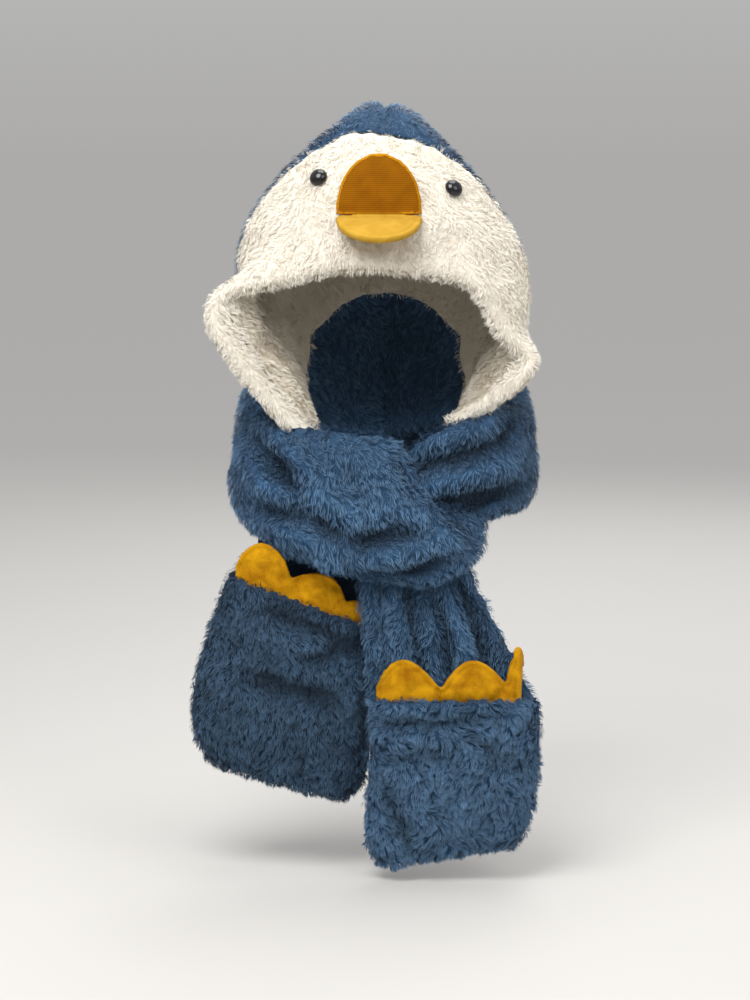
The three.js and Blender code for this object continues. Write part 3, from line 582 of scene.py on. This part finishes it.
def furred(name, node, material, *, strands, length, seed, voxel=None, cuts=0, smooth=4, inset=3.5,
           width=0.55, lift=0.85, bias=(0, 0, 0), clump=4.5, gather=0.28, swirl=0.6, lumps=1.2, shape=None,
           skin_level=0.3, painted_lighting=0.0, focus=None, hidden=0.3, longer=None):
    """A padded skin over a CAD solid with combed, clumped strands on its open faces."""
    rng = np.random.default_rng(seed)
    points, normals, tris = remeshed(node, voxel, cuts, smooth)
    open_share, straight = openness(points, normals)
    bare = np.clip((straight - BARE_FROM) / BARE_SPAN, 0, 1)
    give = bare * np.clip(open_share * 3.5, 0, 1)
    wave = Noise(0.030, seed + 100)(points) + 0.5 * Noise(0.013, seed + 200)(points)
    move = -inset * MM * give + lumps * MM * wave * give
    # Faces that lie close to another piece come up to it, so that no light passes between them
    move += np.where(straight < CLOSE_UNDER, straight, 0) * (1 - give)
    points = points + normals * move[:, None]
    fold = np.zeros(len(points))
    if shape is not None:
        points, fold = shape(points, normals, give)
    normals = vertex_normals(points, tris)

    a, b, c = (points[tris[:, k]] for k in range(3))
    out = np.cross(b - a, c - a)
    area = np.linalg.norm(out, axis=1) / 2
    weight = give[tris].mean(1) * (THIN + (1 - THIN) * np.clip(open_share[tris].mean(1) * 2.2, 0, 1))
    if focus is not None:
        weight = weight * focus((a + b + c) / 3, unit(out))
    weight[bare[tris].mean(1) < hidden] = 0
    share = np.cumsum(area * weight)
    share /= share[-1]
    field = Noise(0.055, seed + 300)
    field_small = Noise(0.02, seed + 400)

    def sample(count):
        """Random places on the skin, their normals, and how far down in a fold they are."""
        pick = np.searchsorted(share, rng.random(count))
        s, t = rng.random(count), rng.random(count)
        over = s + t > 1
        s[over], t[over] = 1 - s[over], 1 - t[over]
        corner = np.stack([1 - s - t, s, t], 1)
        p = np.einsum("ij,ijk->ik", corner, points[tris[pick]])
        n = unit(np.einsum("ij,ijk->ik", corner, normals[tris[pick]]))
        return p, n, np.einsum("ij,ij->i", corner, fold[tris[pick]])

    def groom(p, n, turn, size, rise):
        """The way that strands lie, their middles, and their tips, which bend down to the skin."""
        way = spin(comb(p, n, bias), n, turn + swirl * (field(p) + 0.5 * field_small(p)))
        reach = size[:, None]
        mid = p + reach * 0.5 * (way * np.cos(rise)[:, None] + n * np.sin(rise)[:, None])
        bend = rise * 0.35
        tip = mid + reach * 0.5 * (way * np.cos(bend)[:, None] + n * np.sin(bend)[:, None])
        return way, mid, tip

    # Clumps: each has a turn, a size, a rise and a shade that its strands share
    total_area = (area * weight).sum() / max(weight.max(), 1e-9)
    clumps = max(50, int(total_area / (clump * MM) ** 2))
    c_place, c_normal, _ = sample(clumps)
    c_tree = KDTree(clumps)
    for i, p in enumerate(c_place):
        c_tree.insert(p, i)
    c_tree.balance()
    c_turn = rng.normal(0, CLUMP_TURN, clumps)
    c_size = length * MM * rng.uniform(*CLUMP_SIZE, clumps)
    if longer is not None:
        c_size *= 1 + longer(c_place, c_normal)
    c_rise = lift * rng.uniform(*CLUMP_RISE, clumps)
    c_shade = rng.normal(0, CLUMP_SHADE, clumps)
    _, c_mid, c_tip = groom(c_place, c_normal, c_turn, c_size, c_rise)

    # Strands: each one leans to the middle strand of its clump
    p, n, sunk = sample(strands)
    home = np.array([c_tree.find(q)[1] for q in p])
    size = c_size[home] * rng.uniform(*STRAND_SIZE, strands) * (1 - 0.4 * np.clip(sunk, 0, 1))
    turn = c_turn[home] + rng.normal(0, STRAND_TURN, strands)
    way, mid, tip = groom(p, n, turn, size, c_rise[home] * rng.uniform(*STRAND_RISE, strands))
    pull = gather * rng.uniform(*STRAND_PULL, strands)[:, None]
    tip = tip * (1 - pull) + (c_tip[home] + (tip - c_tip[home]) * 0.15) * pull
    mid = mid * (1 - pull * 0.45) + c_mid[home] * pull * 0.45
    across = unit(np.cross(n, way))
    across = unit(across + n * rng.normal(0, STRAND_TILT, strands)[:, None])
    wide = (width * MM * rng.uniform(*STRAND_WIDTH, strands) / 2)[:, None]
    root = p - n * ROOT_DEPTH * MM
    root = root + (mid - root) * 0.1
    strand_points = np.stack([root, mid + across * wide, tip, mid - across * wide], 1).reshape(-1, 3)
    patch = Noise(0.045, seed + 500)(p) * 0.6 + field_small(p) * 0.5
    # Each strand's shade: random clump, strand and patch tones, plus the piece's painted lighting, painted
    # shade down in the creases and painted light on the ridges beside them
    shade = 0.5 + painted_lighting + c_shade[home] + rng.normal(0, STRAND_SHADE, strands) + 0.08 * patch - 0.4 * sunk
    shade = np.clip(shade, 0.02, 0.97)
    strand_u = np.stack([shade, shade + STRAND_U, shade, shade - STRAND_U], 1)
    strand_uv = np.stack([strand_u, np.broadcast_to(STRAND_V, strand_u.shape)], 2).reshape(-1, 2)

    # The skin has one level of the fur's colour, with painted shade in the folds, painted light on the ridges
    # beside them, and the piece's painted lighting
    level = np.clip(0.45 + painted_lighting + 0.1 * field_small(a) - 0.45 * fold[tris].mean(1), 0.02, 0.95)
    skin_u = np.stack([level, level + 0.02, level], 1)
    skin_v = np.broadcast_to([skin_level, skin_level, skin_level + 0.06], skin_u.shape)
    skin_uv = np.stack([skin_u, skin_v], 2).reshape(-1, 2)

    corners = np.concatenate([tris.ravel(), np.arange(4 * strands) + len(points)])
    counts = np.concatenate([np.full(len(tris), 3), np.full(strands, 4)])
    mesh = build_mesh(name, np.concatenate([points, strand_points]), corners, counts,
                      np.concatenate([skin_uv, strand_uv]))
    mesh.materials.append(material)
    stands_for(add_object(name, mesh), node)
    print("piece", name, "skin", len(tris), "strands", strands, "triangles", len(tris) + 2 * strands)


# painted_lighting: painted light on the upper wrap, and painted shade on the lower band, the right tail and,
# most of all, the left pocket
furred("hood_shell_fur", "hood_shell", BLUE, strands=many(54000), length=9.5, cuts=1, smooth=3,
       inset=2.5, bias=hood_comb, seed=11, shape=hood_shape)
furred("face_panel_fur", "face_panel", WHITE, strands=many(68000), length=6.5, cuts=1, smooth=3,
       inset=1.5, width=0.6, clump=4, gather=0.18, swirl=0.8, lumps=0.6, seed=12, lift=0.75, skin_level=0.5,
       hidden=0.1, bias=rim_comb, longer=rim_longer)
furred("hood_lining_pile", "hood_lining", CREAM, strands=many(42000), length=8, cuts=1,
       smooth=2, inset=0.5, width=0.7, clump=4, gather=0.3, swirl=1.0, lumps=0.5, seed=13, skin_level=0.45,
       focus=seen_inside, hidden=0.03, shape=lining_shape)
furred("wrap_over_fur", "wrap_over", BLUE, strands=many(64000), length=9.5, voxel=4.5, smooth=5,
       bias=(0.6, 0, 0), seed=14, painted_lighting=0.05, shape=wrapped(OVER_CREASES))
furred("wrap_under_fur", "wrap_under", BLUE, strands=many(42000), length=9.5, voxel=4, smooth=3,
       bias=(-0.3, 0, 0), seed=15, painted_lighting=-0.08, shape=wrapped(UNDER_CREASES, tuck=True))
furred("tail_right_fur", "tail_right", BLUE, strands=many(34000), length=8.5, voxel=4, smooth=3,
       inset=3, seed=16, painted_lighting=-0.05, shape=creased(TAIL_CREASES))
# The left tail takes the darker copy of the blue fur, as painted shade
furred("tail_left_fur", "tail_left", SHADED_BLUE, strands=many(18000), length=8.5, voxel=4.5,
       inset=3, seed=17)
furred("pocket_right_fur", "pocket_right", BLUE, strands=many(38000), length=8, voxel=3.5,
       inset=2.5, swirl=1.0, clump=5, gather=0.3, lumps=1.4, seed=18, shape=creased(RIGHT_CREASES))
furred("pocket_left_fur", "pocket_left", BLUE, strands=many(38000), length=7.5, voxel=3.5,
       inset=2.5, swirl=0.45, clump=4, gather=0.15, seed=19, painted_lighting=-0.3, shape=creased(LEFT_CREASES))


# Velvet pieces

FRONT = (0, -1, 0)
# The mouth of the lower beak faces up and a little forward
MOUTH = (0, -0.37, 0.93)
# Distances in from the outline, each with its half width: the raised edge and the stitched groove
EDGE_RIDGE = (1.8, 1.3)
EDGE_GROOVE = (4.6, 1.2)
# Dents between the lobes: from (x, z) to (x, z), half width and depth
RIGHT_DENTS = [(50, -529, 56, -548, 4, 3.5), (54, -543, 98, -541, 4, 1.8), (108, -531, 100, -541, 4, 3.5)]
LEFT_DENTS = [(-84, -427, -74, -444, 4, 3.5), (-78, -429, -38, -441, 4, 4), (-118, -421, -92, -433, 4, 1.5)]


def rim_distance(points, normals, facing):
    """Distance of each point from the piece's outline, seen along facing."""
    spots = points[np.abs(normals @ facing) < 0.45]
    tree = KDTree(len(spots))
    for i, p in enumerate(spots):
        tree.insert(p, i)
    tree.balance()
    return np.array([tree.find(p)[2] for p in points])


def padded_piece(name, node, materials, *, voxel, facing, puff, groove=0.0, inlay=0.0, grow=0.2, ruffle,
                 dents=()):
    """A stuffed piece: its faces swell away from its outline, with a stitched groove along the edge. Where
    there are two materials, the second one fills the front face inside the edge."""
    points, normals, tris = remeshed(node, voxel=voxel)
    _, straight = openness(points, normals)
    facing = unit(np.array(facing, dtype=float))
    far = rim_distance(points, normals, facing)
    front = normals @ facing
    face = np.clip(np.abs(front) * 1.5, 0, 1) * np.clip((straight - 0.004) / 0.006, 0, 1)
    lift = puff * MM * (1 - np.exp(-far / (7 * MM))) * face
    lift += groove * MM * hump(far, EDGE_RIDGE[0] * MM, EDGE_RIDGE[1] * MM) * face
    lift -= groove * MM * hump(far, EDGE_GROOVE[0] * MM, EDGE_GROOVE[1] * MM) * face
    inside = np.clip((far - 2.0 * MM) / (0.7 * MM), 0, 1) * (front > 0.5)
    lift -= inlay * MM * inside
    soft = Noise(0.018, 7)(points) + Noise(0.007, 8)(points) * 0.35
    lift += soft * ruffle * MM * face * np.clip(far / (6 * MM), 0, 1)
    lift += grow * MM * np.clip((straight - 0.002) / 0.002, 0, 1)
    points = points + normals * lift[:, None]
    for x0, z0, x1, z1, wide, deep in dents:
        line = np.array([(x0, z0), (x1, z1)]) * MM
        gap, _ = segment_distance(points[:, [0, 2]], *line)
        points = points - facing * (deep * MM * hump(gap, 0, wide * MM) * np.clip(front, 0, 1))[:, None]
    mesh = build_mesh(name, points, tris.ravel(), np.full(len(tris), 3))
    for material in materials:
        mesh.materials.append(material)
    if len(materials) > 1:
        mesh.polygons.foreach_set("material_index", (inside[tris].mean(1) > 0.5).astype(np.int32))
    stands_for(add_object(name, mesh), node)
    print("piece", name, "triangles", len(tris))


padded_piece("toes_right_velvet", "toes_right", [YELLOW], voxel=1.5, facing=FRONT, puff=2.2, groove=0.9,
             ruffle=0.9, dents=RIGHT_DENTS)
padded_piece("toes_left_velvet", "toes_left", [YELLOW], voxel=1.5, facing=FRONT, puff=2.2, groove=0.9,
             ruffle=0.9, dents=LEFT_DENTS)
# Inside its edge the upper beak has the darkened felt: its own mustard with painted shade
padded_piece("beak_upper_felt", "beak_upper", [EDGE_YELLOW, SHADED_MUSTARD], voxel=1.2, facing=FRONT, puff=0.4,
             inlay=0.9, grow=0.5, ruffle=0.15)
# The lower beak takes the paler copy of the yellow velvet, as painted light
padded_piece("beak_lower_velvet", "beak_lower", [LIT_YELLOW], voxel=1.2, facing=MOUTH, puff=1.2, groove=0.6,
             grow=0.5, ruffle=0.3)


# Eyes

def bead(node, material):
    """A round, polished bead."""
    points, _, tris = remeshed(node, voxel=0.7, smooth=8)
    mesh = build_mesh(node + "_bead", points, tris.ravel(), np.full(len(tris), 3))
    mesh.materials.append(material)
    stands_for(add_object(node + "_bead", mesh), node)


BLACK = bead_material("black_bead", (6, 6, 8), (20, 20, 24))
bead("eye_left", BLACK)
bead("eye_right", BLACK)


# Floor, lights and sky

FLOOR_RADIUS, FLOOR_TURNS, FLOOR_DROP = 25, 96, 0.012
HOOD_FRONT = Vector((0, -0.06, -0.15))
SKY_LOW, SKY_HIGH, SKY_HIGH_FROM = (0.411, 0.4055, 0.398, 1), (0.66, 0.67, 0.69, 1), 0.3


def pale_floor():
    """A wide round floor, open on every side."""
    angles = np.arange(FLOOR_TURNS) / FLOOR_TURNS * 2 * math.pi
    height = np.full(FLOOR_TURNS, cad_box[0][2] - FLOOR_DROP)
    rim = np.stack([np.cos(angles) * FLOOR_RADIUS, np.sin(angles) * FLOOR_RADIUS, height], 1)
    mesh = build_mesh("floor", rim, np.arange(FLOOR_TURNS), np.array([FLOOR_TURNS]))
    material, _, shader = node_material("pale_floor")
    set_inputs(shader, {"Base Color": color((204, 201, 196)), "Roughness": 0.9})
    mesh.materials.append(material)
    add_object("floor", mesh)


def area_light(name, place, size, power, aim=TARGET):
    """A round soft light that looks at its aim."""
    data = bpy.data.lights.new(name, "AREA")
    data.shape = "DISK"
    data.size = size
    data.energy = power
    light = add_object(name, data)
    light.location = place
    light.rotation_euler = (aim - Vector(place)).to_track_quat("-Z", "Y").to_euler()


def pale_sky():
    """A sky that gets lighter above the horizon."""
    world = bpy.data.worlds.new("world")
    bpy.context.scene.world = world
    world.use_nodes = True
    tree = world.node_tree
    place = tree.nodes.new("ShaderNodeTexCoord")
    split = tree.nodes.new("ShaderNodeSeparateXYZ")
    ramp = tree.nodes.new("ShaderNodeValToRGB")
    ramp.color_ramp.elements[0].color = SKY_LOW
    ramp.color_ramp.elements[1].color = SKY_HIGH
    ramp.color_ramp.elements[1].position = SKY_HIGH_FROM
    background = tree.nodes["Background"]
    tree.links.new(place.outputs["Generated"], split.inputs[0])
    tree.links.new(split.outputs[2], ramp.inputs[0])
    tree.links.new(ramp.outputs[0], background.inputs["Color"])
    background.inputs["Strength"].default_value = 1.0


pale_floor()
area_light("key", (-0.45, -0.95, 0.85), 1.0, 20, aim=HOOD_FRONT)
area_light("fill", (1.5, -1.7, 0.9), 1.5, 13)
area_light("top", (0.1, 0.1, 1.0), 0.9, 8)
area_light("back", (0.5, 2.1, 1.1), 1.6, 16)
pale_sky()
